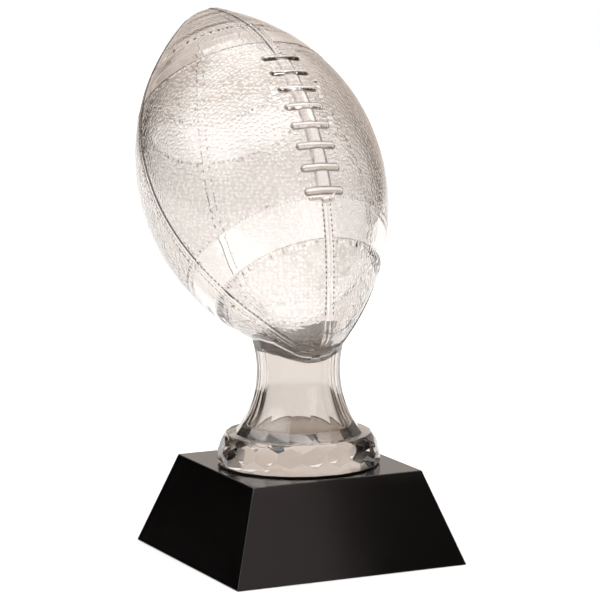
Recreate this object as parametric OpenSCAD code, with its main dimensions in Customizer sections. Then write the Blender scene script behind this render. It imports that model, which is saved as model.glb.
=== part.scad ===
// Glass football award: a hollow moulded glass football leaning back on a fluted glass stem,
// a faceted glass foot, and a black lacquered base made of mitred panels.
// Millimetres. The origin is the middle of the base's underside, +Z is up and the front is -Y.

/* [Football] */
// Radius at the football's waist
ball_r = 84.6; // [82:0.1:88]
// Half length of the pointed outline that the football's tips are rounded off from
outline_half = 150.5; // [148:0.1:155]
// Half length where the blunt rounding of a tip starts
tip_start = 136; // [134:0.5:137]
// Half length of the finished football, over its blunt tip
tip_end = 141; // [139:0.5:143]
// Thickness of the football's glass wall
wall_t = 7; // [5:0.5:9]
// How far the football leans back from upright, in degrees
lean = 42; // [38:0.5:46]
// How far the laces are turned towards the right, in degrees
lace_turn = 2; // [0:0.5:6]
// Distance from the stem's axis back to the football's centre
ball_back = 57.5; // [54:0.1:60]
// Height of the football's centre
ball_height = 250.7; // [249:0.1:254]

/* [Seams and laces] */
// Width of a raised seam
seam_w = 6; // [4:0.5:8]
// Height of a raised seam above the football's skin
seam_h = 0.7; // [0.4:0.1:1.2]
// Number of cross laces
lace_count = 8; // [6:1:10]
// Distance between neighbouring cross laces
lace_pitch = 15.2; // [13:0.1:16]
// Where the top cross lace lies, along the football from its centre
lace_first = 45.5; // [40:0.5:50]
// Length of a cross lace
lace_len = 28; // [22:1:32]
// Radius of a lace's round section
lace_r = 2.2; // [1.6:0.1:2.8]

/* [Stem] */
// Radius of the stem at its waist, to the middle of a flute
stem_r = 28.2; // [26:0.1:31]
// Height of the stem's waist
stem_waist = 128.2; // [126:0.1:132]
// Radius of the hollow curve of each flute
flute_r = 73; // [70:1:80]
// Number of flutes
flutes = 16; // [14:1:20]
// Thickness of the hollow stem's wall
stem_wall = 7; // [5:0.5:9]
// Thickness of glass that closes the hollow at both ends
stem_end = 2.5; // [2:0.5:4]
// Thickness of the clear bond layers
bond_t = 0.4; // [0.2:0.1:0.6]

/* [Foot] */
// Distance from the axis to the foot's upright facets
foot_r = 55.15; // [54:0.05:57]
// Height of the foot
foot_h = 20.2; // [20:0.1:21]
// Slope of the middle row of facets, in degrees from upright
middle_tilt = 19; // [17:0.5:21]
// Slope of the top row of facets, in degrees from upright
top_tilt = 36; // [34:0.5:40]
// Number of facets in each row
facets = 20; // [18:1:24]
// Thickness of the black pad under the foot
pad_t = 1.3; // [0.8:0.1:1.6]

/* [Base] */
// Width of the base at the bottom
base_bottom = 170; // [160:1:176]
// Width of the base at the top
base_top_w = 125; // [120:1:130]
// Height of the base
base_h = 63; // [58:1:66]
// Thickness of the base's panels
panel_t = 9; // [8:0.5:11]
// Width of the small bevel along the base's edges
bevel = 0.6; // [0.4:0.1:1.2]
// Thickness of the floor board
floor_t = 8; // [6:0.5:9]
// Thickness of the felt under the floor board
felt_t = 1; // [0.8:0.1:1.5]
// Width of the glue blocks in the corners
block_w = 22; // [20:1:24]
// Height of the glue blocks
block_h = 34; // [28:1:36]
// Distance of each floor screw from the two middle planes
screw_at = 58; // [56:0.5:59]

/* [Hidden] */
$fn = 96;

glass = [0.87, 0.84, 0.81, 0.5];
lacquer = [0.06, 0.05, 0.05];
raw_board = [0.62, 0.48, 0.33];
side_power = 2.1;      // shape of the football's side
side_sharpness = 0.958; // fullness of the football towards its tips
side_steps = 22;       // outline steps from the middle to the start of a tip
tip_steps = 5;         // outline steps over a tip
tip_wall = 1.35;       // how many times thicker the wall is at a tip
lace_sink = 0.3;       // how far the middle of a lace lies under the skin
over = 1;              // how far a cut reaches past the face that it opens

// Foot: its widest ring, and where the top row of facets crosses the upright ones
pad_z = base_h + pad_t;
foot_top = pad_z + foot_h;
facet_turn = 0.27;     // turn of the facet rows, as a share of one facet
widest_z = pad_z + 5;
middle_out = 0.65;
top_row_z = pad_z + 14.7;
top_row_in = 2.05;
cutter = 40;           // size of the block that cuts one facet
pad_inset = 0.4;       // how far the pad stays inside the upright facets

// Stem: its lower end is the widest, and its top is cut away by the football
stem_foot = foot_top + bond_t;
stem_top = 152;
stem_rim = stem_r + flute_r - sqrt(flute_r * flute_r - pow(stem_waist - stem_foot, 2));
bond_inset = 1.4;      // how far the bond layer stays inside the stem's lower end

// Base: how far the sides lean in for each millimetre up, and a panel's level thickness
slope = (base_bottom - base_top_w) / 2 / base_h;
panel_across = panel_t * sqrt(1 + slope * slope);
floor_top = felt_t + floor_t;

// Countersunk screws, with a crossed slot in the head
screw_r = 1.75;
screw_head_r = 3.6;
screw_head_h = 2.4;
screw_len = 26;
screw_point = 3;
screw_point_r = 0.3;
slot_len = 4;
slot_w = 0.9;
slot_depth = 1.2;

// Radius of the football's outline at distance x from its middle
function side(x, waist, half) = waist * pow(1 - pow(abs(x) / half, side_power), side_sharpness);

// Slope of that outline, taken over a short step
function side_slope(x, waist, half) = side(x + 0.5, waist, half) - side(x - 0.5, waist, half);

// A blunt tip: a curve from the side, along its tangent, to a flat pole
function tip_curve(from, to, waist, half) = [
    for (i = [1 : tip_steps])
        let (
            t = i / tip_steps,
            r0 = side(from, waist, half),
            r1 = r0 + side_slope(from, waist, half) * (to - from)
        )
        [r0 * (1 - t) * (1 - t) + 2 * r1 * t * (1 - t),
            from * (1 - t) * (1 - t) + to * (2 * t * (1 - t) + t * t)]
];

// Outline of the upper half, from the waist to the pole
function half_outline(waist, half, from, to) = concat(
    [for (i = [0 : side_steps]) let (x = from * i / side_steps) [side(x, waist, half), x]],
    tip_curve(from, to, waist, half)
);

// The whole outline, from the lower pole up to the upper pole
function outline(grow) =
    let (
        axial = grow < 0 ? tip_wall * grow : grow,
        upper = half_outline(ball_r + grow, outline_half + axial, tip_start + axial,
            tip_end + axial),
        n = len(upper)
    )
    concat([for (i = [n - 1 : -1 : 1]) [upper[i][0], -upper[i][1]]], upper);

module on_ball() {
    translate([0, ball_back, ball_height]) rotate([-lean, 0, 0]) rotate([0, 0, lace_turn]) children();
}

module ball_skin(grow) {
    rotate_extrude() polygon(outline(grow));
}

// A flat plate of the football's own outline, which leaves a raised seam on two sides
module seam_plate(grow) {
    right = outline(seam_h + grow);
    left = [for (i = [len(right) - 2 : -1 : 1]) [-right[i][0], right[i][1]]];
    rotate([90, 0, 0])
        linear_extrude(height = seam_w + 2 * grow, center = true) polygon(concat(right, left));
}

module football_solid(grow) {
    ball_skin(grow);
    seam_plate(grow);
    rotate([0, 0, 90]) seam_plate(grow);
}

module bar(length, r) {
    rotate([0, 90, 0]) cylinder(h = length - 2 * r, r = r, center = true);
    for (x = [-1, 1]) translate([x * (length / 2 - r), 0, 0]) sphere(r = r);
}

module laces() {
    for (i = [0 : lace_count - 1]) {
        z = lace_first - i * lace_pitch;
        translate([0, -side(z, ball_r, outline_half) - lace_sink, z]) bar(lace_len, lace_r);
    }
}

module glass_football() {
    color(glass) on_ball() difference() {
        union() {
            football_solid(0);
            laces();
        }
        ball_skin(-wall_t);
    }
}

// The fluted column before the football's seat is cut into it
module stem_blank() {
    difference() {
        translate([0, 0, stem_foot]) cylinder(h = stem_top - stem_foot, r = stem_rim);
        for (i = [0 : flutes - 1])
            rotate([0, 0, i * 360 / flutes]) translate([stem_r + flute_r, 0, stem_waist])
                rotate([90, 0, 0]) cylinder(h = 2 * stem_rim, r = flute_r, center = true);
    }
}

// The hollow inside the stem: it follows the flutes, and the football's seat at its top
module stem_hollow() {
    difference() {
        translate([0, 0, stem_foot + stem_end])
            cylinder(h = stem_top - stem_foot, r = stem_rim - stem_wall);
        rotate_extrude() translate([stem_r + flute_r - stem_wall, stem_waist]) circle(r = flute_r);
        on_ball() football_solid(bond_t + stem_end);
    }
}

module glass_stem() {
    color(glass) difference() {
        stem_blank();
        on_ball() football_solid(bond_t);
        stem_hollow();
    }
}

module football_bond() {
    color("white") difference() {
        intersection() {
            stem_blank();
            on_ball() football_solid(bond_t);
        }
        on_ball() football_solid(0);
    }
}

module stem_bond() {
    color("white") translate([0, 0, foot_top]) cylinder(h = bond_t, r = stem_rim - bond_inset);
}

// Cuts away everything beyond a ring of planes through (r, z) that lean inwards by tilt degrees
module facet_row(r, z, tilt, turn) {
    for (i = [0 : facets - 1])
        rotate([0, 0, (i + turn) * 360 / facets]) translate([r, 0, z]) rotate([0, -tilt, 0])
            translate([0, -cutter / 2, -cutter]) cube([cutter, cutter, 2 * cutter]);
}

module glass_foot() {
    color(glass) difference() {
        translate([0, 0, pad_z]) cylinder(h = foot_h, r = foot_r + over);
        facet_row(foot_r, widest_z, 0, facet_turn + 0.5);
        facet_row(foot_r + middle_out, widest_z, middle_tilt, facet_turn);
        facet_row(foot_r - top_row_in, top_row_z, top_tilt, facet_turn + 0.5);
    }
}

module foot_pad() {
    color("black") translate([0, 0, base_h]) cylinder(h = pad_t, r = foot_r - pad_inset);
}

// Half width of the base's outside at height z
function half_at(z) = base_bottom / 2 - slope * z;

module wedge(points, width) {
    rotate([90, 0, 0]) linear_extrude(height = width, center = true) polygon(points);
}

function bevelled(widen, cut) = [
    [-half_at(0) * widen + cut, 0], [half_at(0) * widen - cut, 0],
    [half_at(bevel) * widen, bevel], [half_at(base_h - bevel) * widen, base_h - bevel],
    [half_at(base_h) * widen - cut, base_h], [-half_at(base_h) * widen + cut, base_h],
    [-half_at(base_h - bevel) * widen, base_h - bevel], [-half_at(bevel) * widen, bevel]
];

// The base's outside: a square pyramid without its top, with every edge bevelled
module base_outside() {
    corner = sqrt(2) - bevel / half_at(0);
    intersection() {
        wedge(bevelled(1, bevel), base_bottom * 2);
        rotate([0, 0, 90]) wedge(bevelled(1, bevel), base_bottom * 2);
        rotate([0, 0, 45]) wedge(bevelled(corner, 0), base_bottom * 2);
        rotate([0, 0, -45]) wedge(bevelled(corner, 0), base_bottom * 2);
    }
}

// The space inside the base's panels, between two heights
module base_inside(low, high) {
    a = half_at(low) - panel_across;
    b = half_at(high) - panel_across;
    shape = [[-a, low], [a, low], [b, high], [-b, high]];
    intersection() {
        wedge(shape, base_bottom);
        rotate([0, 0, 90]) wedge(shape, base_bottom);
    }
}

// One side panel, mitred along the two diagonals; side 0 is the front
module base_side(quarter) {
    far = base_bottom;
    color(lacquer) difference() {
        intersection() {
            base_outside();
            rotate([0, 0, quarter * 90]) linear_extrude(height = base_h - panel_t)
                polygon([[0, 0], [-far, -far], [far, -far]]);
        }
        base_inside(-over, base_h);
    }
}

module base_front() { base_side(0); }
module base_right() { base_side(1); }
module base_back() { base_side(2); }
module base_left() { base_side(3); }

module base_top() {
    color(lacquer) intersection() {
        base_outside();
        translate([-base_bottom / 2, -base_bottom / 2, base_h - panel_t])
            cube([base_bottom, base_bottom, panel_t + over]);
    }
}

module at_screws() {
    for (x = [-1, 1], y = [-1, 1]) translate([x * screw_at, y * screw_at, felt_t]) children();
}

module screw_shape() {
    cylinder(h = screw_head_h, r1 = screw_head_r, r2 = screw_r);
    cylinder(h = screw_len - screw_point, r = screw_r);
    translate([0, 0, screw_len - screw_point])
        cylinder(h = screw_point, r1 = screw_r, r2 = screw_point_r);
}

module corner_blocks() {
    inner = half_at(floor_top) - panel_across - block_w;
    color(raw_board) difference() {
        intersection() {
            base_inside(floor_top, floor_top + block_h);
            for (x = [0, 1], y = [0, 1]) mirror([x, 0, 0]) mirror([0, y, 0])
                translate([inner, inner, floor_top]) cube([block_w * 2, block_w * 2, block_h]);
        }
        at_screws() screw_shape();
    }
}

module base_floor() {
    color(raw_board) difference() {
        base_inside(felt_t, floor_top);
        at_screws() screw_shape();
    }
}

module floor_screws() {
    color("silver") at_screws() difference() {
        screw_shape();
        for (a = [0, 90]) rotate([0, 0, a]) translate([-slot_len / 2, -slot_w / 2, -over])
            cube([slot_len, slot_w, slot_depth + over]);
    }
}

module felt_sheet() {
    color("dimgray") base_inside(0, felt_t);
}

glass_football();
football_bond();
glass_stem();
stem_bond();
glass_foot();
foot_pad();
base_top();
base_front();
base_right();
base_back();
base_left();
corner_blocks();
base_floor();
floor_screws();
felt_sheet();
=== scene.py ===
import math

import bmesh
import bpy
import numpy as np
from mathutils import Matrix, Vector


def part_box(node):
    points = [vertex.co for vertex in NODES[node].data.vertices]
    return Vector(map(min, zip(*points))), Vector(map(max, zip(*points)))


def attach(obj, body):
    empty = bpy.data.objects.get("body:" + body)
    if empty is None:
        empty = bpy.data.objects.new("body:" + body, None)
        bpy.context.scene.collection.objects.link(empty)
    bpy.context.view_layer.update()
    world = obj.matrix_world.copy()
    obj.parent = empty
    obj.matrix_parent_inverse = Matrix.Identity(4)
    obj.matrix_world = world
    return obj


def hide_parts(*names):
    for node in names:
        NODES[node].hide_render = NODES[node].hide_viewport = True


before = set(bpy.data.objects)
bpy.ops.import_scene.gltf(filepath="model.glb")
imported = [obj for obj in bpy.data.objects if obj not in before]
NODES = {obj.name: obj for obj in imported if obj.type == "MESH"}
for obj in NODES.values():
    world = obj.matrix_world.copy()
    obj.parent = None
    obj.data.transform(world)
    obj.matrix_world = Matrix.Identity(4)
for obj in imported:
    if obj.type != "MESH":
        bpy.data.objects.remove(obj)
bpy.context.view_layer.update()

bl_info = {
    "name": "Glass football award",
    "version": (1, 0, 0),
    "blender": (4, 5, 0),
    "location": "3D View > Sidebar > Award",
    "description": "Builds the visible pieces of a glass football award around its packed parts",
    "category": "Object",
}

MM = 0.001
BODY = "root"
PAD_LOW, PAD_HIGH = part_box("foot_pad")
STEM_LOW, STEM_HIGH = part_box("glass_stem")
BOND_LOW, BOND_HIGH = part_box("stem_bond")
BOND_GAP = BOND_HIGH.z - BOND_LOW.z
CONTACT = 0.05 * MM  # how far glued glass faces reach into each other, so that light passes

GLASS_IOR = 1.5
GLASS_ROUGHNESS = 0.012
ABSORBING = (0.7, 0.65, 0.61, 1.0)  # glass lets this colour through; density says how strongly
FOOTBALL_DENSITY = 42.0
STEM_DENSITY = 60.0
FOOT_DENSITY = 6.0
PEBBLES_PER_METRE = 380.0
PEBBLE_RISE = 0.10 * MM
PEBBLE_EDGE, PEBBLE_TOP = 0.58, 0.2  # distances from a cell's middle, as shares of a cell
# painted shade: the glass is darkened in the valleys between pebbles
PEBBLE_VALLEY_SHADE = (0.74, 0.715, 0.695, 1.0)
# painted shade: the glass is darkened along the creases beside laces, strip and seams
CREASE_SHADE_TINT = (0.16, 0.13, 0.115, 1.0)
# painted shade: the stitch beads' glass is darkened so that they show as dark dots
STITCH_SHADE_TINT = (0.42, 0.36, 0.33)


# ---- sizes and colours

def length(name, description, millimetres):
    """A length property, given in millimetres."""
    return bpy.props.FloatProperty(name=name, description=description, default=millimetres * MM,
                                   min=0.0, precision=5, unit="LENGTH")


def colour(name, description, value):
    """A colour property."""
    return bpy.props.FloatVectorProperty(name=name, description=description, default=value,
                                         subtype="COLOR", size=3, min=0.0, max=1.0)


def angle(name, description, degrees):
    """An angle property, given in degrees."""
    return bpy.props.FloatProperty(name=name, description=description,
                                   default=math.radians(degrees), subtype="ANGLE")


class FootballSettings(bpy.types.PropertyGroup):
    """Sizes and place of the football"""
    waist: length("Waist radius", "Radius at the middle of the football", 84.6)
    half: length("Outline half length", "Half length of the pointed outline", 150.5)
    tip_start: length("Tip start", "Half length where a blunt tip starts", 136)
    tip_end: length("Tip end", "Half length over a blunt tip", 141)
    wall: length("Wall", "Thickness of the glass wall at the waist", 7)
    lean: angle("Lean", "How far the football leans back", 42)
    turn: angle("Turn", "How far the laces are turned to the right", 2)
    back: length("Set back", "From the stem's axis back to the football's centre", 57.5)
    height: length("Height", "Height of the football's centre", 250.7)
    seam_width: length("Seam width", "Width of a raised seam", 6)
    seam_height: length("Seam height", "Height of a raised seam", 0.7)
    stitch_pitch: length("Stitch pitch", "Distance between stitches along a seam", 3.4)
    stripe_from: length("Stripe start", "Inner edge of a smooth stripe, from the middle", 65)
    stripe_to: length("Stripe end", "Outer edge of a smooth stripe, from the middle", 89)
    laces: bpy.props.IntProperty(name="Laces", description="Number of cross laces", default=8)
    lace_pitch: length("Lace pitch", "Distance between cross laces", 15.2)
    lace_first: length("First lace", "Place of the top cross lace, from the middle", 45.5)
    lace_length: length("Lace length", "Length of a cross lace", 28)
    tint: colour("Tint", "Colour that one glass wall gives to light", (0.99, 0.985, 0.98))


class PedestalSettings(bpy.types.PropertyGroup):
    """Sizes of the stem and the foot"""
    flutes: bpy.props.IntProperty(name="Flutes", description="Number of flutes", default=16)
    waist: length("Waist radius", "Radius of the stem at its waist", 28.2)
    waist_height: length("Waist height", "Height of the stem's waist", 128.2)
    flute_radius: length("Flute radius", "Radius of the hollow curve of a flute", 73)
    wall: length("Wall", "Thickness of the hollow stem's wall", 7)
    end: length("End", "Thickness of glass that closes the stem's hollow at both ends", 2.5)
    ridge: length("Ridge radius", "Rounding of the ridge between two flutes", 0.9)
    facet_edge: length("Facet edge", "Width of the polished edge between two facets", 0.3)
    tint: colour("Tint", "Colour that the solid glass gives to light", (0.86, 0.84, 0.82))


class BaseSettings(bpy.types.PropertyGroup):
    """Colours of the base's materials"""
    lacquer: colour("Lacquer", "Colour of the lacquer", (0.0012, 0.0009, 0.0009))
    felt: colour("Felt", "Colour of the felt", (0.012, 0.012, 0.013))
    board: colour("Board", "Colour of the floor board", (0.42, 0.29, 0.17))
    pine: colour("Pine", "Colour of the glue blocks", (0.62, 0.42, 0.22))


class StageSettings(bpy.types.PropertyGroup):
    """Camera, floor and lights"""
    aim_side: length("Aim sideways", "How far right of the axis the camera looks", 1.579)
    aim_height: length("Aim height", "Height that the camera looks at", 174.97)
    distance: length("Distance", "Distance of the camera", 2352)
    azimuth: angle("Azimuth", "Camera's place round the award, from the front", -25.36)
    elevation: angle("Elevation", "Camera's height above the horizon", 9.126)
    roll: angle("Roll", "How far the camera is rolled", 0.31)
    lens: bpy.props.FloatProperty(name="Lens", description="Focal length", default=208.2,
                                  subtype="DISTANCE_CAMERA")
    floor_size: length("Floor size", "Radius of the floor", 4000)
    floor: colour("Floor", "Colour of the floor", (0.78, 0.78, 0.78))
    overhead: bpy.props.FloatProperty(name="Overhead", description="Overhead light", default=2.8)
    window: bpy.props.FloatProperty(name="Window", description="Front light", default=0.75)


def settings(name):
    """The football's, pedestal's, base's or stage's settings."""
    return getattr(bpy.context.scene, "award_" + name)


# ---- node helpers

SOCKET_KINDS = {tuple: "Color", float: "Float", int: "Int"}


def node(tree, kind, inputs=None, **values):
    """Adds a node; each input is a value or another node's output socket."""
    made = tree.nodes.new(kind)
    for key, value in values.items():
        setattr(made, key, value)
    for key, value in (inputs or {}).items():
        socket = made.inputs[key]
        if isinstance(value, bpy.types.NodeSocket):
            tree.links.new(value, socket)
        else:
            socket.default_value = value
    return made


def maths(tree, operation, first, second=0.0, third=0.0):
    """The output of a new maths node."""
    return node(tree, "ShaderNodeMath", {0: first, 1: second, 2: third},
                operation=operation).outputs[0]


def ramp(tree, value, low, high, bottom=0.0, top=1.0):
    """A smooth step from bottom to top while value goes from low to high."""
    made = node(tree, "ShaderNodeMapRange", {"Value": value, "From Min": low, "From Max": high,
                                             "To Min": bottom, "To Max": top},
                interpolation_type="SMOOTHSTEP")
    return made.outputs["Result"]


def group_tree(name, inputs, outputs, kind="ShaderNodeTree"):
    """A node group and its two end nodes; each input is a default value or a socket kind."""
    tree = bpy.data.node_groups.new(name, kind)
    for label, given in inputs.items():
        named = isinstance(given, str)
        socket_type = "NodeSocket" + (given if named else SOCKET_KINDS[type(given)])
        socket = tree.interface.new_socket(label, in_out="INPUT", socket_type=socket_type)
        if not named:
            socket.default_value = given
    for label, given in outputs.items():
        tree.interface.new_socket(label, in_out="OUTPUT", socket_type="NodeSocket" + given)
    return tree, tree.nodes.new("NodeGroupInput").outputs, tree.nodes.new("NodeGroupOutput").inputs


def noise(tree, vector, scale, detail=3.0, rough=0.5):
    """The value of a new noise texture."""
    return node(tree, "ShaderNodeTexNoise", {"Vector": vector, "Scale": scale, "Detail": detail,
                                             "Roughness": rough}).outputs["Fac"]


def object_coords(tree):
    """Object coordinates, in metres."""
    return node(tree, "ShaderNodeTexCoord").outputs["Object"]


def mix(tree, share, first, second, blend="MIX"):
    """The blend of two colours: share says how much of the second."""
    made = node(tree, "ShaderNodeMix", {"Factor": share, "A": first, "B": second},
                data_type="RGBA", blend_type=blend)
    return next(socket for socket in made.outputs if socket.type == "RGBA")


def dot_with(tree, vector, fixed):
    """How far a vector points along a fixed one."""
    return node(tree, "ShaderNodeVectorMath", {0: vector, 1: fixed},
                operation="DOT_PRODUCT").outputs["Value"]


def pebble_group():
    """Height of moulded pebble grain: rounded cells of uneven size."""
    if "pebble_grain" in bpy.data.node_groups:
        return bpy.data.node_groups["pebble_grain"]
    tree, given, out = group_tree("pebble_grain", {"Scale": PEBBLES_PER_METRE, "Mask": 1.0},
                                  {"Height": "Float"})
    coords = object_coords(tree)
    cells = node(tree, "ShaderNodeTexVoronoi", {"Vector": coords, "Scale": given["Scale"],
                                                "Smoothness": 0.35, "Randomness": 0.6},
                 feature="SMOOTH_F1").outputs["Distance"]
    dome = ramp(tree, cells, PEBBLE_EDGE, PEBBLE_TOP)
    patches = noise(tree, coords, 60.0, detail=2.0)
    patchy = ramp(tree, patches, 0.25, 0.75, bottom=0.75)
    height = maths(tree, "MULTIPLY", maths(tree, "MULTIPLY", dome, patchy), given["Mask"])
    tree.links.new(height, out["Height"])
    return tree


def moulding_group():
    """Colour of moulded glass: a little darker between pebbles, much darker in creases."""
    if "moulded_tint_and_painted_shade" in bpy.data.node_groups:
        return bpy.data.node_groups["moulded_tint_and_painted_shade"]
    white = (1.0, 1.0, 1.0, 1.0)
    tree, given, out = group_tree("moulded_tint_and_painted_shade", {"Tint": white, "Valley": white, "Fold": white,
                                                   "Pebble": 0.0, "Grain": 0.0, "Crease": 0.0},
                                  {"Color": "Color"})
    low = maths(tree, "MULTIPLY", maths(tree, "SUBTRACT", 1.0, given["Pebble"]), given["Grain"])
    tinted = given["Tint"]
    for dark, share in (("Valley", low), ("Fold", given["Crease"])):
        tinted = mix(tree, share, tinted, given[dark], "MULTIPLY")
    tree.links.new(tinted, out["Color"])
    return tree


def wear_group():
    """Fine handling marks: a roughness that varies and a faint uneven height."""
    if "fine_wear" in bpy.data.node_groups:
        return bpy.data.node_groups["fine_wear"]
    tree, given, out = group_tree(
        "fine_wear", {"Roughness": 0.1, "Spread": 0.05, "Scale": 30.0},
        {"Roughness": "Float", "Height": "Float"})
    coords = object_coords(tree)
    clouds = noise(tree, coords, given["Scale"], 4.0, 0.6)
    specks = noise(tree, coords, maths(tree, "MULTIPLY", given["Scale"], 25.0), 2.0)
    marks = maths(tree, "ADD", clouds, maths(tree, "MULTIPLY", specks, 0.4))
    centred = maths(tree, "SUBTRACT", marks, 0.7)
    rough = maths(tree, "MULTIPLY_ADD", centred, given["Spread"], given["Roughness"])
    tree.links.new(maths(tree, "MAXIMUM", rough, 0.0), out["Roughness"])
    tree.links.new(specks, out["Height"])
    return tree


def grain_group():
    """Wood grain along X: colour between two tones, and a height."""
    if "sawn_grain" in bpy.data.node_groups:
        return bpy.data.node_groups["sawn_grain"]
    tree, given, out = group_tree(
        "sawn_grain", {"Light": (0.6, 0.4, 0.2, 1.0), "Dark": (0.4, 0.25, 0.12, 1.0),
                       "Scale": 60.0}, {"Color": "Color", "Height": "Float"})
    stretched = node(tree, "ShaderNodeMapping", {"Vector": object_coords(tree),
                                                 "Scale": (0.12, 1.0, 1.0)}).outputs[0]
    rings = noise(tree, stretched, given["Scale"], 6.0, 0.65)
    tone = mix(tree, ramp(tree, rings, 0.35, 0.68), given["Light"], given["Dark"])
    tree.links.new(tone, out["Color"])
    tree.links.new(rings, out["Height"])
    return tree


def use_group(tree, group, **inputs):
    """Places a node group with these inputs, and returns its outputs."""
    return node(tree, "ShaderNodeGroup", inputs, node_tree=group).outputs


def new_material(name, **plain):
    """A material with one Principled shader, whose plain values are set on its own sockets."""
    made = bpy.data.materials.new(name)
    made.use_nodes = True
    tree = made.node_tree
    shader = tree.nodes["Principled BSDF"]
    for label, value in plain.items():
        shader.inputs[label.replace("_", " ")].default_value = value
    return made, tree, shader


def add_bump(tree, shader, height, distance, strength=1.0):
    """Bends the shader's normals as a relief of this height would."""
    bump = node(tree, "ShaderNodeBump", {"Height": height, "Distance": distance,
                                         "Strength": strength})
    tree.links.new(bump.outputs["Normal"], shader.inputs["Normal"])


def rgba(value):
    """A colour with full alpha."""
    return (*value, 1.0)


def glass_material(name, tint, density, pebbled):
    """Clear glass that takes up light on its way through, with pebble grain or nearly plain."""
    made, tree, shader = new_material(name, Base_Color=rgba(tint), Transmission_Weight=1.0,
                                      IOR=GLASS_IOR)
    absorb = node(tree, "ShaderNodeVolumeAbsorption", {"Color": ABSORBING, "Density": density})
    tree.links.new(absorb.outputs[0], tree.nodes["Material Output"].inputs["Volume"])
    wear = use_group(tree, wear_group(), Roughness=GLASS_ROUGHNESS, Spread=GLASS_ROUGHNESS,
                     Scale=25.0)
    tree.links.new(wear["Roughness"], shader.inputs["Roughness"])
    if pebbled:
        # painted shade: the base colour is darkened between pebbles and along the creases
        mask = node(tree, "ShaderNodeAttribute", attribute_name="grain").outputs["Fac"]
        shade_fold = node(tree, "ShaderNodeAttribute", attribute_name="crease_shade").outputs["Fac"]
        pebbles = use_group(tree, pebble_group(), Scale=PEBBLES_PER_METRE, Mask=mask)
        mould = use_group(tree, moulding_group(), Tint=rgba(tint), Valley=PEBBLE_VALLEY_SHADE,
                          Fold=CREASE_SHADE_TINT, Pebble=pebbles["Height"], Grain=mask, Crease=shade_fold)
        tree.links.new(mould["Color"], shader.inputs["Base Color"])
        add_bump(tree, shader, pebbles["Height"], PEBBLE_RISE)
    else:
        waves = noise(tree, object_coords(tree), 40.0, detail=1.0)
        add_bump(tree, shader, waves, 0.05 * MM)
    return made


def worn_material(name, rough, spread, scale, rise=0.0, strength=1.0, **plain):
    """A material whose roughness and fine relief come from the wear group."""
    made, tree, shader = new_material(name, **plain)
    wear = use_group(tree, wear_group(), Roughness=rough, Spread=spread, Scale=scale)
    tree.links.new(wear["Roughness"], shader.inputs["Roughness"])
    if rise:
        add_bump(tree, shader, wear["Height"], rise, strength)
    return made


def bond_material():
    """A thin film of clear adhesive, which hardly shows between two glass faces."""
    return worn_material("clear_bond_film", 0.02, 0.02, 90.0, Alpha=0.04,
                         Base_Color=(0.97, 0.965, 0.955, 1.0))


def milky_material():
    """Thick adhesive, opaque and nearly white."""
    return worn_material("milky_bond", 0.45, 0.1, 90.0, Base_Color=(0.95, 0.94, 0.93, 1.0))


def sole_material():
    """A satin layer that reflects like metal under the clear foot."""
    return worn_material("ground_glass_sole", 0.15, 0.05, 60.0, 0.02 * MM, Metallic=1.0,
                         Base_Color=(0.93, 0.9, 0.87, 1.0))


def lacquer_material():
    """Black lacquer, polished but a little cloudy."""
    return worn_material("polished_black_lacquer", 0.12, 0.08, 22.0, 0.01 * MM, 0.4, IOR=1.48,
                         Base_Color=rgba(settings("base").lacquer))


def rubber_material():
    """Dull black rubber."""
    return worn_material("matte_black_pad", 0.6, 0.15, 60.0, 0.05 * MM,
                         Base_Color=(0.004, 0.004, 0.004, 1.0))


def zinc_material():
    """Zinc-plated steel."""
    return worn_material("zinc_plated_steel", 0.32, 0.2, 250.0, 0.02 * MM, Metallic=1.0,
                         Base_Color=(0.62, 0.62, 0.6, 1.0))


def wood_material(name, light, scale):
    """Bare wood or board."""
    made, tree, shader = new_material(name, Roughness=0.75)
    grain = use_group(tree, grain_group(), Light=rgba(light), Dark=rgba(0.6 * c for c in light),
                      Scale=scale)
    tree.links.new(grain["Color"], shader.inputs["Base Color"])
    add_bump(tree, shader, grain["Height"], 0.15 * MM)
    return made


def felt_material():
    """Pressed felt."""
    made, tree, shader = new_material("pressed_felt", Roughness=0.95, Sheen_Weight=0.4)
    fibres = noise(tree, object_coords(tree), 900.0, 5.0, 0.7)
    dark, light = (rgba(share * c for c in settings("base").felt) for share in (0.6, 1.8))
    tree.links.new(mix(tree, fibres, dark, light), shader.inputs["Base Color"])
    add_bump(tree, shader, fibres, 0.25 * MM)
    return made


# ---- piece helpers

def finish_piece(piece, material, slot, *replaced):
    """Gives a piece its material, its body, its slot and the packed nodes it stands for."""
    piece.data.materials.clear()
    piece.data.materials.append(material)
    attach(piece, BODY)
    if replaced:
        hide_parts(*replaced)


def link_mesh(name, mesh):
    """A new object in the scene with this mesh."""
    made = bpy.data.objects.new(name, mesh)
    bpy.context.scene.collection.objects.link(made)
    return made


def link_work(name, work):
    """A new object from a bmesh, which is freed."""
    mesh = bpy.data.meshes.new(name)
    work.to_mesh(mesh)
    work.free()
    return link_mesh(name, mesh)


def round_point(around, r, z):
    """The point at height z and radius r, at an angle round from the laces."""
    return r * math.sin(around), -r * math.cos(around), z


def baked(piece):
    """Turns a piece with modifiers into a plain mesh."""
    graph = bpy.context.evaluated_depsgraph_get()
    mesh = bpy.data.meshes.new_from_object(piece.evaluated_get(graph))
    piece.modifiers.clear()
    piece.data = mesh
    return piece


def joined(piece, extra):
    """Adds another object's shell to a piece's mesh, and removes that object."""
    work = bmesh.new()
    work.from_mesh(piece.data)
    work.from_mesh(extra.data)
    work.to_mesh(piece.data)
    work.free()
    bpy.data.objects.remove(extra)


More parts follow.
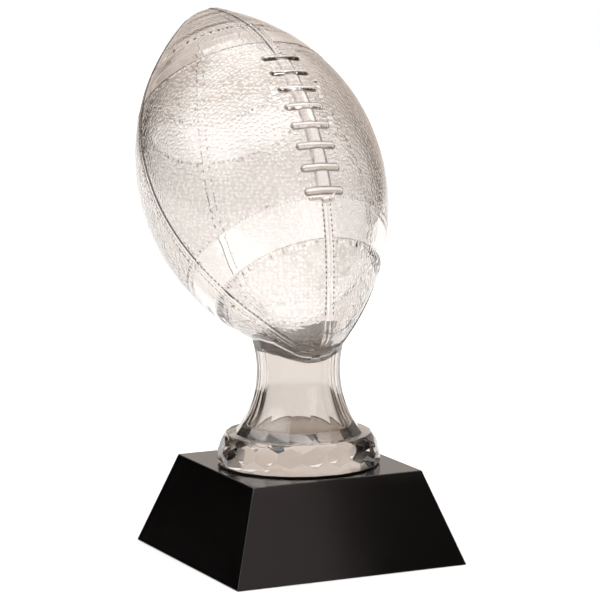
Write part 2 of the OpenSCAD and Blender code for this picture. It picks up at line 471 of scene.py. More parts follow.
def merged_copy(node_name, piece_name):
    """A copy of a packed node with its loose triangles joined into clean flat faces."""
    mesh = NODES[node_name].data.copy()
    work = bmesh.new()
    work.from_mesh(mesh)
    bmesh.ops.remove_doubles(work, verts=work.verts, dist=0.002 * MM)
    bmesh.ops.dissolve_limit(work, angle_limit=math.radians(0.5), verts=work.verts,
                             edges=work.edges)
    work.to_mesh(mesh)
    work.free()
    mesh.name = piece_name
    return link_mesh(piece_name, mesh)


def shade(mesh, sharp_degrees):
    """Smooth shading, except across edges sharper than the angle."""
    mesh.shade_smooth()
    mesh.set_sharp_from_angle(angle=math.radians(sharp_degrees))


# ---- football

SKIN_SPACING, FINEST = 4.4 * MM, 0.72 * MM  # between mesh points: plain skin, longest at relief
CAVITY_SPACING = 3.2 * MM
RING_RISE, SWELL_RISE = 0.09 * MM, 0.10 * MM  # unevenness of the cavity's wall
RINGS = ((9.5 * MM, 0.4, 1.6), (14 * MM, 2.1, 2.3), (23 * MM, 4.0, 1.1))  # pitch, phase, swing
SEAM_BEADS = 1.9 * MM, 1.1 * MM  # length and width of a stitch
STRIPE_BEADS = 0.7 * MM, 0.7 * MM
STRIPE_PITCH = 2.5 * MM


class Outline:
    """The football's outline, turned about its long axis. Lengths are in metres."""

    SIDE_POWER = 2.1
    SHARPNESS = 0.958
    STEPS = 1500

    def __init__(self, waist, half, tip_start, tip_end):
        self.waist, self.tip_end = waist, tip_end
        side_z = np.linspace(0, tip_start, self.STEPS)
        side_r = waist * (1 - (side_z / half) ** self.SIDE_POWER) ** self.SHARPNESS
        slope = (side_r[-1] - side_r[-2]) / (side_z[-1] - side_z[-2])
        t = np.linspace(0, 1, self.STEPS // 5)[1:]
        corner = side_r[-1] + slope * (tip_end - tip_start)
        tip_r = side_r[-1] * (1 - t) ** 2 + 2 * corner * t * (1 - t)
        tip_z = tip_start * (1 - t) ** 2 + tip_end * (2 * t * (1 - t) + t * t)
        r = np.concatenate([side_r, tip_r])
        z = np.concatenate([side_z, tip_z])
        self.r = np.concatenate([r[:0:-1], r])
        self.z = np.concatenate([-z[:0:-1], z])
        steps = np.hypot(np.diff(self.r), np.diff(self.z))
        run = np.concatenate([[0], np.cumsum(steps)])
        self.run = run - run[-1] / 2
        self.bearing = self.to_bearing(self.r, self.z)
        tangent_r, tangent_z = np.gradient(self.r, self.run), np.gradient(self.z, self.run)
        size = np.hypot(tangent_r, tangent_z)
        self.normal_r, self.normal_z = tangent_z / size, -tangent_r / size

    def to_bearing(self, r, z):
        """An angle that rises steadily along the outline, from the low pole to the high one."""
        return np.arctan2(z / self.tip_end, r / self.waist)

    def at_bearing(self, bearing):
        """Radius, height, outward normal and run of the outline at a bearing."""
        return [np.interp(bearing, self.bearing, table) for table in
                (self.r, self.z, self.normal_r, self.normal_z, self.run)]

    def bearings_for(self, spacing):
        """Bearings evenly spaced along the outline, without the two poles."""
        count = int(round((self.run[-1] - self.run[0]) / spacing))
        run = np.linspace(self.run[0], self.run[-1], count + 1)[1:-1]
        return np.interp(run, self.run, self.bearing)

    def run_at(self, z):
        """Distance along the outline, from its middle, of the point at height z."""
        return float(np.interp(z, self.z, self.run))


def smooth(value, low, high):
    """A smooth step from 0 to 1 while value goes from low to high."""
    t = np.clip((value - low) / (high - low), 0, 1)
    return t * t * (3 - 2 * t)


def soft_max(a, b, blend):
    """The larger of two heights, with a rounded inner corner."""
    gap = np.clip(0.5 + 0.5 * (a - b) / blend, 0, 1)
    return b * (1 - gap) + a * gap + blend * gap * (1 - gap)


def capsule(x, y, start, end, radius, height):
    """Height of a rounded bar from start to end that lies on the skin."""
    along = np.array([end[0] - start[0], end[1] - start[1]])
    share = ((x - start[0]) * along[0] + (y - start[1]) * along[1]) / along.dot(along)
    share = np.clip(share, 0, 1)
    away = np.hypot(x - start[0] - share * along[0], y - start[1] - share * along[1]) / radius
    return height * np.clip(1 - away ** 2, 0, 1) ** 0.7


class Skin:
    """The moulded relief on the football: seams, stripes, laces and where the grain lies."""

    EDGE = 0.7 * MM
    STRIPE_RISE = 0.25 * MM
    GROOVE = 0.3 * MM
    STRIP_HALF = 5.2 * MM
    STRIP_RISE = 1.15 * MM
    BAR_RADIUS = 2.3 * MM
    BAR_RISE = 1.9 * MM
    FEET = 0.5 * MM
    # width of the band of painted shade beside the bars and the strip
    FOLD = 0.8 * MM
    PANEL_GAP = 1.0 * MM
    KNOT_DROP = 4.4 * MM  # from the last bar down to its knot and tails
    KNOT_REACH = 9 * MM
    LACE_MARGIN = 2 * MM
    LACE_AREA = 18 * MM, 8 * MM, 14 * MM  # to each side, above the top bar, below the last bar
    GROOVE_HALF = 0.5 * MM
    SEAM_SHADE = 0.45
    LEFT_SHADE = 0.6  # painted crease shade is fainter on the side of the strip that faces the light
    # Pairs are where a smooth step starts and is complete: radii, or shares of a full rise.
    TIP_FADE = (4 * MM, 12 * MM)
    GRAIN_FADE = (8 * MM, 20 * MM)
    BAR_FOOT, BAR_TOP = (0.02, 0.35), (0.8, 0.3)
    STRIP_FOOT, STRIP_TOP = (0.02, 0.25), (0.75, 0.35)
    BAR_OVER_STRIP = (0.0, 0.05)

    def __init__(self, given):
        self.given = given
        self.outline = Outline(given.waist, given.half, given.tip_start, given.tip_end)
        self.bars = [self.outline.run_at(given.lace_first - i * given.lace_pitch)
                     for i in range(given.laces)]
        self.low, self.high = self.bars[-1], self.bars[0]
        self.stripes = [self.outline.run_at(given.stripe_from),
                        self.outline.run_at(given.stripe_to)]

    def seam_distance(self, around, r):
        """Distance across the surface to the nearest of the four seams."""
        quarter = math.pi / 2
        return r * np.abs((around + quarter / 2) % quarter - quarter / 2)

    def lace_side(self, around, r):
        """Distance across the surface from the middle of the laces; the right is positive."""
        return r * ((around + math.pi) % (2 * math.pi) - math.pi)

    def near_feature(self, around, r, run, size):
        """True where the mesh must be fine; size is the margin added round each feature."""
        seam = self.seam_distance(around, r) < self.given.seam_width / 2 + self.EDGE + size
        stripe = np.zeros_like(seam)
        for edge in self.stripes:
            stripe |= np.abs(np.abs(run) - edge) < self.EDGE + size
        side = np.abs(self.lace_side(around, r))
        reach = self.given.lace_length / 2 + self.LACE_MARGIN + size
        lace = (side < reach) & (run < self.high + 3 * MM + size)
        lace &= run > self.low - self.KNOT_REACH - size
        return seam | stripe | lace

    def knot(self, x, run):
        """Height of the knot and the two short tails under the last bar."""
        tail = self.low - self.KNOT_DROP
        height = np.zeros_like(x)
        for start, end, radius, rise in (
                ((-11 * MM, tail), (-1 * MM, tail), 1.4 * MM, 1.1 * MM),
                ((-1 * MM, tail - 2 * MM), (5 * MM, tail - 0.6 * MM), 2.1 * MM, 1.8 * MM),
                ((5 * MM, tail - 0.6 * MM), (7 * MM, tail + 3 * MM), 1.3 * MM, 1.4 * MM)):
            height = np.maximum(height, capsule(x, run, start, end, radius, rise))
        return height

    def relief(self, around, r, run):
        """Height above the plain skin, and the strength of the grain and of creases, 0 to 1."""
        given = self.given
        seam = self.seam_distance(around, r)
        fade = smooth(r, *self.TIP_FADE)
        inner, outer = given.seam_width / 2 - self.EDGE, given.seam_width / 2
        plate = given.seam_height * smooth(seam, outer, inner)
        groove = self.GROOVE * np.exp(-(seam / self.GROOVE_HALF) ** 2)
        height = fade * (plate - groove)
        (start, stop), soft = self.stripes, self.EDGE / 2
        on_stripe = smooth(np.abs(run), start - soft, start + soft)
        on_stripe *= smooth(np.abs(run), stop + soft, stop - soft)
        height = np.maximum(height, self.STRIPE_RISE * on_stripe * fade)
        x = self.lace_side(around, r)
        strip = capsule(x, run, (0, self.low), (0, self.high), self.STRIP_HALF, self.STRIP_RISE)
        laced = soft_max(height, strip, self.FEET)
        half = given.lace_length / 2 - self.BAR_RADIUS
        bars, wide_bars = np.zeros_like(height), np.zeros_like(height)
        for place in self.bars:
            ends = (-half, place), (half, place)
            bars = np.maximum(bars, capsule(x, run, *ends, self.BAR_RADIUS, self.BAR_RISE))
            wide = capsule(x, run, *ends, self.BAR_RADIUS + self.FOLD, 1)
            wide_bars = np.maximum(wide_bars, wide)
        wide_strip = capsule(x, run, (0, self.low), (0, self.high), self.STRIP_HALF + self.FOLD, 1)
        knot = self.knot(x, run)
        laced = soft_max(laced, np.maximum(bars, knot), self.FEET)
        beside, above, below = self.LACE_AREA
        near = (np.abs(x) < beside) & (run < self.high + above) & (run > self.low - below)
        height = np.where(near, laced, height)
        edge = outer + self.PANEL_GAP
        grain = smooth(seam, outer, edge) * (1 - on_stripe)
        grain *= smooth(r, *self.GRAIN_FADE)
        raised = np.maximum(bars, knot) / self.BAR_RISE
        flat = strip / self.STRIP_RISE
        grain *= 1 - smooth(np.maximum(flat, raised), *self.STRIP_FOOT)
        # painted shade: darker glass at the feet of the bars and the strip, fainter left of the strip,
        # and along the seams' edges and middles
        bar_foot = smooth(wide_bars, *self.BAR_FOOT) * smooth(raised, *self.BAR_TOP)
        strip_foot = smooth(wide_strip, *self.STRIP_FOOT) * smooth(flat, *self.STRIP_TOP)
        strip_foot *= 1 - smooth(raised, *self.BAR_OVER_STRIP)
        strip_foot *= np.where(x > 0, 1.0, self.LEFT_SHADE)
        seam_edge = np.exp(-((seam - outer + 0.3 * MM) / (0.45 * MM)) ** 2)
        seam_middle = 0.5 * np.exp(-(seam / (0.4 * MM)) ** 2)
        seam_edge = self.SEAM_SHADE * fade * np.maximum(seam_edge, seam_middle)
        crease_shade = np.maximum(np.maximum(bar_foot, strip_foot), np.where(near, 0, seam_edge))
        return height, grain, crease_shade


def football_matrix(given):
    """From the football's own frame, with its long axis upright, to its place."""
    return (Matrix.Translation((0, given.back, given.height))
            @ Matrix.Rotation(-given.lean, 4, "X") @ Matrix.Rotation(given.turn, 4, "Z"))


def lathe(outline, spacing, columns):
    """A closed mesh round the outline: rings of equal spacing between two poles."""
    work = bmesh.new()
    low = work.verts.new((0, 0, -outline.tip_end))
    rings = []
    for bearing in outline.bearings_for(spacing):
        r, z = outline.at_bearing(bearing)[:2]
        rings.append([work.verts.new(round_point(2 * math.pi * (i + 0.5) / columns, r, z))
                      for i in range(columns)])
    high = work.verts.new((0, 0, outline.tip_end))
    for i in range(columns):
        j = (i + 1) % columns
        work.faces.new((low, rings[0][j], rings[0][i]))
        work.faces.new((high, rings[-1][i], rings[-1][j]))
        for under, above in zip(rings, rings[1:]):
            work.faces.new((under[i], under[j], above[j], above[i]))
    return work


def on_outline(outline, points):
    """Angle round from the laces, radius, height, normal and run of the nearest plain skin."""
    around = np.arctan2(points[:, 0], -points[:, 1])
    bearing = outline.to_bearing(np.hypot(points[:, 0], points[:, 1]), points[:, 2])
    return around, *outline.at_bearing(bearing)


def refine(work, skin, finest):
    """Splits the edges near seams, stripes and laces until none is longer than finest."""
    size = 2.5 * MM
    while True:
        edges = list(work.edges)
        ends = np.array([(*e.verts[0].co, *e.verts[1].co) for e in edges])
        first, second = ends[:, :3], ends[:, 3:]
        around, r, _, _, _, run = on_outline(skin.outline, (first + second) / 2)
        long = np.linalg.norm(first - second, axis=1)
        wanted = skin.near_feature(around, r, run, size / 2) & (long > max(size, finest))
        chosen = [e for e, w in zip(edges, wanted) if w]
        if not chosen and size <= finest:
            return
        if chosen:
            bmesh.ops.subdivide_edges(work, edges=chosen, cuts=1, use_grid_fill=True)
            settle(work, skin.outline)
        size = max(size / 2, finest) if size > finest else finest * 0.999


def settle(work, outline):
    """Moves every point straight onto the plain skin."""
    points = np.array([v.co for v in work.verts])
    around, r, z = on_outline(outline, points)[:3]
    for v, a, radius, height in zip(work.verts, around, r, z):
        v.co = round_point(a, radius, height)


def outer_skin(skin, spacing, finest):
    """The outside of the glass, with its relief and with the grain and creases stored on it."""
    columns = 4 * int(round(math.pi * skin.outline.waist / 2 / spacing))
    work = lathe(skin.outline, spacing, columns)
    refine(work, skin, finest)
    bmesh.ops.triangulate(work, faces=[f for f in work.faces if len(f.verts) > 4])
    points = np.array([v.co for v in work.verts])
    around, r, z, normal_r, normal_z, run = on_outline(skin.outline, points)
    height, grain, crease_shade = skin.relief(around, r, run)
    layers = work.verts.layers.float
    for name in ("grain", "crease_shade"):
        layers.new(name)
    pebbled, dark = layers["grain"], layers["crease_shade"]
    r, z = r + normal_r * height, z + normal_z * height
    for v, a, radius, up, mask, shade_fold in zip(work.verts, around, r, z, grain, crease_shade):
        v.co = round_point(a, radius, up)
        v[pebbled] = mask
        v[dark] = shade_fold
    return work


def inner_skin(given, spacing):
    """The cavity, whose glass is thicker and gently ringed towards the tips."""
    axial = 1.35 * given.wall
    outline = Outline(given.waist - given.wall, given.half - axial, given.tip_start - axial,
                      given.tip_end - axial)
    work = lathe(outline, spacing, 96)
    points = np.array([v.co for v in work.verts])
    around, r, z, normal_r, normal_z, run = on_outline(outline, points)
    tips = smooth(np.abs(run), 45 * MM, 120 * MM) * smooth(r, 2 * MM, 14 * MM)
    rings = sum(np.sin(2 * math.pi * run / pitch + phase + swing * np.sin(around + phase))
                for pitch, phase, swing in RINGS)
    swell = np.sin(3 * around + 40 * run) + np.sin(2 * around - 55 * run + 1.3)
    wave = RING_RISE * tips * rings + SWELL_RISE * swell * smooth(r, 5 * MM, 30 * MM)
    r, z = r + normal_r * wave, z + normal_z * wave
    for v, a, radius, up in zip(work.verts, around, r, z):
        v.co = round_point(a, radius, up)
    bmesh.ops.reverse_faces(work, faces=work.faces)
    for name in ("grain", "crease_shade"):
        work.verts.layers.float.new(name)
    return work


def make_football():
    """The hollow glass football: outer skin and cavity in one mesh."""
    given = settings("football")
    piece = link_work("moulded_football", outer_skin(Skin(given), SKIN_SPACING, FINEST))
    joined(piece, link_work("football_cavity", inner_skin(given, CAVITY_SPACING)))
    piece.data.transform(football_matrix(given))
    piece.data.shade_smooth()
    material = glass_material("pebbled_glass_painted_shade", given.tint, FOOTBALL_DENSITY, True)
    finish_piece(piece, material, "football_glass", "glass_football")


# ---- stitches

def stitch_tree():
    """Geometry nodes: beads along each path, turned along it."""
    tree, given, out = group_tree(
        "moulded_stitches", {"Geometry": "Geometry", "Pitch": 3.4 * MM, "Length": 1.7 * MM,
                             "Width": 1.0 * MM, "Material": "Material"},
        {"Geometry": "Geometry"}, "GeometryNodeTree")
    curve = node(tree, "GeometryNodeMeshToCurve", {"Mesh": given["Geometry"]}).outputs[0]
    spaced = node(tree, "GeometryNodeResampleCurve", {"Curve": curve, "Length": given["Pitch"]},
                  mode="LENGTH").outputs[0]
    bead = node(tree, "GeometryNodeMeshUVSphere",
                {"Segments": 8, "Rings": 5, "Radius": 0.5}).outputs[0]
    size = node(tree, "ShaderNodeCombineXYZ", {"X": given["Width"], "Y": given["Width"],
                                               "Z": given["Length"]}).outputs[0]
    tangent = node(tree, "GeometryNodeInputTangent").outputs[0]
    turn = node(tree, "FunctionNodeAlignRotationToVector", {"Vector": tangent}, axis="Z").outputs[0]
    points = node(tree, "GeometryNodeInstanceOnPoints", {"Points": spaced, "Instance": bead,
                                                         "Rotation": turn, "Scale": size}).outputs[0]
    real = node(tree, "GeometryNodeRealizeInstances", {"Geometry": points}).outputs[0]
    smoothed = node(tree, "GeometryNodeSetShadeSmooth", {"Geometry": real}).outputs[0]
    done = node(tree, "GeometryNodeSetMaterial", {"Geometry": smoothed, "Material": given["Material"]})
    tree.links.new(done.outputs[0], out["Geometry"])
    return tree


def run_tree(piece, tree, **inputs):
    """Runs a geometry node tree on a piece and keeps the result as a plain mesh."""
    modifier = piece.modifiers.new(tree.name, "NODES")
    modifier.node_group = tree
    sockets = {s.name: s.identifier for s in tree.interface.items_tree if s.in_out == "INPUT"}
    for label, value in inputs.items():
        modifier[sockets[label]] = value
    return baked(piece)


def stitch_paths(skin):
    """Polylines just above the plain skin on both sides of each seam."""
    outline, given = skin.outline, skin.given
    paths = []
    beside = given.seam_width / 2 - 0.2 * MM
    lift = 0.25 * MM
    reach = 128 * MM
    for seam in range(4):
        for side in (-beside, beside):
            path = []
            for run in np.arange(outline.run_at(-reach), outline.run_at(reach), 2 * MM):
                bearing = np.interp(run, outline.run, outline.bearing)
                r, z, normal_r, normal_z, _ = outline.at_bearing(bearing)
                if seam == 0 and skin.low - 6 * MM < run < skin.high + 3 * MM:
                    paths.append(path)
                    path = []
                    continue
                around = seam * math.pi / 2 + side / r
                r, z = r + normal_r * lift, z + normal_z * lift
                path.append(round_point(around, r, z))
            paths.append(path)
    return [path for path in paths if len(path) > 1]


def stripe_paths(skin):
    """Polylines on the plain skin along each stripe's edges, clear of the seams."""
    outline = skin.outline
    paths = []
    clear = 4.2 * MM
    for edge in skin.stripes:
        for end in (-1, 1):
            bearing = np.interp(end * edge, outline.run, outline.bearing)
            r, z = (float(v) for v in outline.at_bearing(bearing)[:2])
            for seam in range(4):
                start = seam * math.pi / 2 + clear / r
                stop = (seam + 1) * math.pi / 2 - clear / r
                paths.append([round_point(a, r, z) for a in np.linspace(start, stop, 60)])
    return paths


def path_mesh(name, paths):
    """A mesh of loose edges that follow the paths."""
    points, edges = [], []
    for path in paths:
        edges += [(len(points) + i, len(points) + i + 1) for i in range(len(path) - 1)]
        points += path
    mesh = bpy.data.meshes.new(name)
    mesh.from_pydata(points, edges, [])
    return mesh


def make_stitches():
    """Beads of glass along the seams and the edges of the stripes."""
    given = settings("football")
    skin = Skin(given)
    tree = stitch_tree()
    material = glass_material("stitch_glass_painted_shade", STITCH_SHADE_TINT, 0.0, False)
    for name, paths, sizes in (
            ("seam_stitches", stitch_paths(skin), (given.stitch_pitch, *SEAM_BEADS)),
            ("stripe_stitches", stripe_paths(skin), (STRIPE_PITCH, *STRIPE_BEADS))):
        piece = link_mesh(name, path_mesh(name, paths))
        piece.data.transform(football_matrix(given))
        run_tree(piece, tree, Pitch=sizes[0], Length=sizes[1], Width=sizes[2], Material=material)
        finish_piece(piece, material, "football_glass")


# ---- pedestal

SEAT_GAP = 0.3 * MM  # between the tops of the seams and the stem's seat


def column_tree():
    """Geometry nodes: a fluted column swept up a straight line whose radius follows the flutes."""
    tree, given, out = group_tree(
        "fluted_column", {"Waist": 28.2 * MM, "Waist Height": 128.2 * MM, "Flute Radius": 73 * MM,
                          "Low": 85 * MM, "High": 150 * MM, "Ridge": 0.9 * MM, "Flutes": 16,
                          "Material": "Material"}, {"Geometry": "Geometry"}, "GeometryNodeTree")
    low = node(tree, "ShaderNodeCombineXYZ", {"Z": given["Low"]}).outputs[0]
    high = node(tree, "ShaderNodeCombineXYZ", {"Z": given["High"]}).outputs[0]
    line = node(tree, "GeometryNodeCurvePrimitiveLine", {"Start": low, "End": high}).outputs[0]
    line = node(tree, "GeometryNodeResampleCurve", {"Curve": line, "Count": 48}).outputs[0]
    place = node(tree, "GeometryNodeInputPosition").outputs[0]
    height = node(tree, "ShaderNodeSeparateXYZ", {"Vector": place}).outputs["Z"]
    rise = maths(tree, "SUBTRACT", height, given["Waist Height"])
    chord = maths(tree, "SUBTRACT", maths(tree, "POWER", given["Flute Radius"], 2.0),
                  maths(tree, "POWER", rise, 2.0))
    swell = maths(tree, "SUBTRACT", given["Flute Radius"], maths(tree, "SQRT", chord))
    radius = maths(tree, "ADD", 1.0, maths(tree, "DIVIDE", swell, given["Waist"]))
    half_turn = maths(tree, "DIVIDE", math.pi, given["Flutes"])
    corner = maths(tree, "DIVIDE", given["Waist"], maths(tree, "COSINE", half_turn))
    ring = node(tree, "GeometryNodeCurvePrimitiveCircle", {"Resolution": given["Flutes"],
                                                           "Radius": corner}).outputs[0]
    spin = node(tree, "ShaderNodeCombineXYZ", {"Z": half_turn}).outputs[0]
    ring = node(tree, "GeometryNodeTransform", {"Geometry": ring, "Rotation": spin}).outputs[0]
    ring = node(tree, "GeometryNodeFilletCurve", {"Curve": ring, "Count": 4,
                                                  "Radius": given["Ridge"]}, mode="POLY").outputs[0]
    swept = node(tree, "GeometryNodeCurveToMesh", {"Curve": line, "Profile Curve": ring,
                                                   "Scale": radius, "Fill Caps": True}).outputs[0]
    done = node(tree, "GeometryNodeSetMaterial", {"Geometry": swept, "Material": given["Material"]})
    tree.links.new(done.outputs[0], out["Geometry"])
    return tree


def seat_cutter(given, gap):
    """A plain football, grown by gap, that the stem's seat is cut with."""
    outline = Outline(*(size + gap for size in (given.waist, given.half, given.tip_start,
                                                given.tip_end)))
    cutter = link_work("seat_cutter", lathe(outline, 3 * MM, 160))
    cutter.data.transform(football_matrix(given))
    return cutter


def make_hollow(given, ball):
    """The hollow inside the stem, turned inside out: it follows the flare and the seat."""
    low, high = BOND_HIGH.z + given.end, STEM_HIGH.z
    corner = 2 * MM
    bend = np.linspace(0, math.pi / 2, 7)
    straight = np.linspace(low + corner, high, 40)[1:]
    heights = np.concatenate([low + corner * (1 - np.cos(bend)), straight])
    inset = np.concatenate([corner * (1 - np.sin(bend)), np.zeros(len(straight))])
    rise = heights - given.waist_height
    radius = given.waist + given.flute_radius - np.sqrt(given.flute_radius ** 2 - rise ** 2)
    work = turned([(0, low), *zip(radius - given.wall - inset, heights), (0, high)], 96)
    hollow = link_work("stem_hollow", work)
    cut_seat(hollow, seat_cutter(ball, BOND_GAP + given.end))
    hollow.data.flip_normals()
    return hollow


def cut_seat(piece, cutter):
    """Cuts the football's seat into a piece, and removes the cutter."""
    cut = piece.modifiers.new("seat", "BOOLEAN")
    cut.operation, cut.solver, cut.object = "DIFFERENCE", "EXACT", cutter
    baked(piece)
    bpy.data.objects.remove(cutter)


def make_stem():
    """The hollow fluted stem, with the football's seat cut into its top."""
    given, ball = settings("pedestal"), settings("football")
    material = glass_material("fluted_clear_glass", given.tint, STEM_DENSITY, False)
    piece = link_mesh("fluted_stem", bpy.data.meshes.new("fluted_stem"))
    run_tree(piece, column_tree(), **{
        "Waist": given.waist, "Waist Height": given.waist_height, "Flutes": given.flutes,
        "Flute Radius": given.flute_radius, "Ridge": given.ridge, "Material": material,
        "Low": BOND_LOW.z - CONTACT, "High": STEM_HIGH.z + 1 * MM})
    cut_seat(piece, seat_cutter(ball, ball.seam_height + SEAT_GAP))
    joined(piece, make_hollow(given, ball))
    shade(piece.data, 30)
    finish_piece(piece, material, "pedestal_glass", "glass_stem")


def make_foot():
    """The faceted foot, with finely polished edges between its facets."""
    given = settings("pedestal")
    material = glass_material("faceted_clear_glass", given.tint, FOOT_DENSITY, False)
    foot = merged_copy("glass_foot", "faceted_foot")
    edges = foot.modifiers.new("polished edges", "BEVEL")
    edges.width, edges.segments = given.facet_edge, 2
    edges.limit_method, edges.angle_limit = "ANGLE", math.radians(8)
    edges.harden_normals = True
    foot.data.shade_smooth()
    baked(foot)
    finish_piece(foot, material, "pedestal_glass", "glass_foot")


def turned(outline, columns):
    """A closed mesh turned about the upright axis from (radius, height) pairs."""
    work = bmesh.new()
    rings = []
    for r, z in outline:
        count = columns if r > 0 else 1
        rings.append([work.verts.new((r * math.cos(2 * math.pi * i / columns),
                                      r * math.sin(2 * math.pi * i / columns), z))
                      for i in range(count)])
    for under, above in zip(rings, rings[1:]):
        for i in range(columns):
            j = (i + 1) % columns
            corners = [under[i % len(under)], under[j % len(under)], above[j % len(above)],
                       above[i % len(above)]]
            work.faces.new(list(dict.fromkeys(corners)))
    return work


def disc(name, radius, low, high, edge):
    """A round disc with softened rims."""
    work = turned([(0, low), (radius - edge, low), (radius, low + edge), (radius, high - edge),
                   (radius - edge, high), (0, high)], 128)
    made = link_work(name, work)
    shade(made.data, 50)
    return made


def make_bonds():
    """The clear film under the stem and the thick adhesive under the football."""
    edge = 0.05 * MM
    film = disc("stem_bond_film", BOND_HIGH.x, BOND_LOW.z + edge, BOND_HIGH.z - edge, edge)
    finish_piece(film, bond_material(), "clear_bond", "stem_bond")
    dress("football_bond", milky_material())


def make_pad():
    """The black pad under the foot, and the reflecting layer between them."""
    gap = 0.08 * MM
    pad = disc("foot_pad_disc", PAD_HIGH.x, PAD_LOW.z, PAD_HIGH.z - gap, 0.2 * MM)
    finish_piece(pad, rubber_material(), "black_pad", "foot_pad")
    sole = disc("ground_sole", PAD_HIGH.x - 1.5 * MM, PAD_HIGH.z - 0.75 * gap, PAD_HIGH.z - gap / 4,
                0.01 * MM)
    finish_piece(sole, sole_material(), None)


# ---- base

def make_base():
    """The five lacquered panels of the base."""
    material = lacquer_material()
    for side in ("top", "front", "right", "back", "left"):
        panel = merged_copy("base_" + side, "lacquered_" + side)
        shade(panel.data, 60)
        weighted = panel.modifiers.new("flat faces", "WEIGHTED_NORMAL")
        weighted.keep_sharp = True
        baked(panel)
        finish_piece(panel, material, "black_lacquer", "base_" + side)


def dress(node_name, material):
    """Gives a packed node, shown as it is, its material."""
    slots = NODES[node_name].data.materials
    slots.clear()
    slots.append(material)


def make_underside():
    """Materials of the pieces under the base, which keep their packed shapes."""
    given = settings("base")
    dress("base_floor", wood_material("pressed_board", given.board, 150.0))
    dress("corner_blocks", wood_material("sawn_pine", given.pine, 60.0))
    dress("floor_screws", zinc_material())
    dress("felt_sheet", felt_material())


# ---- stage

# Light from all round: each pair of edges is where a patch of light or dark begins and is full,
# by the direction's height or by how closely it points at the patch.
WARM, WHITE = (1.0, 0.89, 0.81, 1.0), (1.0, 1.0, 1.0, 1.0)
SWEEP_LIGHT, SWEEP_EDGES = 0.78, (-0.68, -0.90)
WALL_LIGHT, WALL_EDGES = (0.05, 0.5), (0.3, 0.7)
CEILING_EDGES = (0.72, 0.88)
LAMP_PLACE, LAMP_EDGES = Vector((-0.65, 0.07, 0.755)).normalized(), (0.8, 0.99)
FLAG_PLACE, FLAG_EDGES = Vector((-0.43, 0.89, 0.145)).normalized(), (0.92, 0.99)
FLAG_LIGHT = 0.12  # share of light that the dark flag leaves
SOFTBOX_SIZE, SOFTBOX_COLOUR = (0.38, 0.55), (1.0, 0.84, 0.82)
SOFTBOX_PLACE, SOFTBOX_AIM = Vector((0.24, -0.94, 0.42)), Vector((0, 0, 0.05))


def make_floor(given):
    """A round, plain floor."""
    work = bmesh.new()
    bmesh.ops.create_circle(work, cap_ends=True, segments=96, radius=given.floor_size)
    floor = link_work("studio_floor", work)
    made = new_material("pale_floor", Base_Color=rgba(given.floor), Roughness=0.9)[0]
    floor.data.materials.append(made)


def make_world(given):
    """Light from all round: sweep, walls, ceiling, a lamp at the left and a dark flag behind."""
    world = bpy.data.worlds.new("studio")
    bpy.context.scene.world = world
    world.use_nodes = True
    tree = world.node_tree
    tree.nodes.clear()
    ray = node(tree, "ShaderNodeTexCoord").outputs["Generated"]
    parts = node(tree, "ShaderNodeSeparateXYZ", {"Vector": ray}).outputs
    flat = maths(tree, "SQRT", maths(tree, "ADD", maths(tree, "MULTIPLY", parts["X"], parts["X"]),
                                     maths(tree, "MULTIPLY", parts["Y"], parts["Y"])))
    side = Vector((math.sin(given.azimuth), -math.cos(given.azimuth), 0))
    across = maths(tree, "DIVIDE", dot_with(tree, ray, side), flat)
    sweep = ramp(tree, across, *SWEEP_EDGES)
    walls = ramp(tree, parts["Z"], *WALL_EDGES, *WALL_LIGHT)
    walls = maths(tree, "MULTIPLY_ADD", sweep, SWEEP_LIGHT, walls)
    flag = ramp(tree, dot_with(tree, ray, FLAG_PLACE), *FLAG_EDGES, 1.0, FLAG_LIGHT)
    walls = maths(tree, "MULTIPLY", walls, flag)
    lamp = ramp(tree, dot_with(tree, ray, LAMP_PLACE), *LAMP_EDGES)
    ceiling = maths(tree, "MAXIMUM", ramp(tree, parts["Z"], *CEILING_EDGES), lamp)
    level = maths(tree, "MULTIPLY_ADD", ceiling, given.overhead, walls)
    shade_out = mix(tree, ramp(tree, level, 0.8, 1.5), WARM, WHITE)
    lit = node(tree, "ShaderNodeBackground", {"Color": shade_out, "Strength": level}).outputs[0]
    plain = node(tree, "ShaderNodeBackground", {"Color": WHITE, "Strength": 1.0}).outputs[0]
    seen = node(tree, "ShaderNodeLightPath").outputs["Is Camera Ray"]
    mixed = node(tree, "ShaderNodeMixShader", {0: seen, 1: lit, 2: plain}).outputs[0]
    node(tree, "ShaderNodeOutputWorld", {"Surface": mixed})


def make_window(given):
    """A soft light in front, which gives the front panel its grey sheen."""
    data = bpy.data.lights.new("front_softbox", "AREA")
    data.shape = "RECTANGLE"
    data.size, data.size_y = SOFTBOX_SIZE
    data.energy = given.window * math.pi * data.size * data.size_y
    data.color = SOFTBOX_COLOUR
    light = bpy.data.objects.new("front_softbox", data)
    light.visible_camera = False
    bpy.context.scene.collection.objects.link(light)
    turn = (SOFTBOX_AIM - SOFTBOX_PLACE).to_track_quat("-Z", "Y").to_matrix().to_4x4()
    light.matrix_world = Matrix.Translation(SOFTBOX_PLACE) @ turn


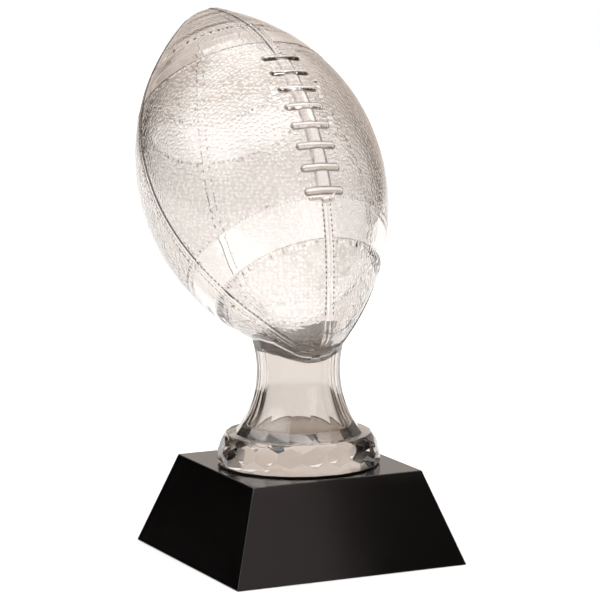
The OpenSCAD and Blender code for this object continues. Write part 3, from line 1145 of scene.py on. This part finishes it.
def make_camera(given):
    """The camera, placed round the award by its angles."""
    data = bpy.data.cameras.new("camera")
    data.lens, data.sensor_width = given.lens, 36.0
    data.clip_start, data.clip_end = 0.05, 50.0
    camera = bpy.data.objects.new("camera", data)
    bpy.context.scene.collection.objects.link(camera)
    az, el = given.azimuth, given.elevation
    back = Vector((math.sin(az) * math.cos(el), -math.cos(az) * math.cos(el), math.sin(el)))
    right = Vector((math.cos(az), math.sin(az), 0))
    up = back.cross(right)
    c, s = math.cos(given.roll), math.sin(given.roll)
    rolled_right, rolled_up = right * c - up * s, right * s + up * c
    place = right * given.aim_side + Vector((0, 0, given.aim_height)) + back * given.distance
    turn = Matrix((rolled_right, rolled_up, back)).transposed().to_4x4()
    camera.matrix_world = Matrix.Translation(place) @ turn
    bpy.context.scene.camera = camera


def make_stage():
    """Camera, floor, lights and render settings."""
    given = settings("stage")
    make_camera(given)
    make_floor(given)
    make_world(given)
    make_window(given)
    scene = bpy.context.scene
    scene.view_settings.view_transform = "Standard"
    scene.cycles.max_bounces = 24
    scene.cycles.transmission_bounces = 24
    scene.cycles.glossy_bounces = 12


# ---- operators and panel

def operator(label, make):
    """An operator class that runs one making function and takes its name and docstring."""
    def execute(self, context):
        make()
        return {"FINISHED"}
    name = make.__name__.removeprefix("make_")
    return type("AWARD_OT_" + name, (bpy.types.Operator,),
                {"bl_idname": "award." + name, "bl_label": label, "__doc__": make.__doc__,
                 "execute": execute})


OPERATORS = [
    operator("Stage", make_stage),
    operator("Football", make_football),
    operator("Stitches", make_stitches),
    operator("Stem", make_stem),
    operator("Foot", make_foot),
    operator("Bond layers", make_bonds),
    operator("Pad", make_pad),
    operator("Base", make_base),
    operator("Underside", make_underside),
]


class AWARD_PT_panel(bpy.types.Panel):
    """Lists the pieces of the award in the order they are made"""
    bl_idname = "AWARD_PT_panel"
    bl_label = "Glass football award"
    bl_space_type = "VIEW_3D"
    bl_region_type = "UI"
    bl_category = "Award"

    def draw(self, context):
        """One button per operator."""
        for made in OPERATORS:
            self.layout.operator(made.bl_idname)


SETTINGS = {"football": FootballSettings, "pedestal": PedestalSettings, "base": BaseSettings,
            "stage": StageSettings}


def register():
    """Adds the classes and the settings to Blender."""
    for made in (*SETTINGS.values(), *OPERATORS, AWARD_PT_panel):
        bpy.utils.register_class(made)
    for name, kind in SETTINGS.items():
        setattr(bpy.types.Scene, "award_" + name, bpy.props.PointerProperty(type=kind))


def unregister():
    """Takes the classes and the settings out again."""
    for name in SETTINGS:
        delattr(bpy.types.Scene, "award_" + name)
    for made in (AWARD_PT_panel, *reversed(OPERATORS), *reversed(SETTINGS.values())):
        bpy.utils.unregister_class(made)


def main():
    """Makes every piece, and writes the packed and the shown size."""
    register()
    for made in OPERATORS:
        getattr(bpy.ops.award, made.bl_idname.split(".")[1])()


if __name__ == "__main__":
    main()
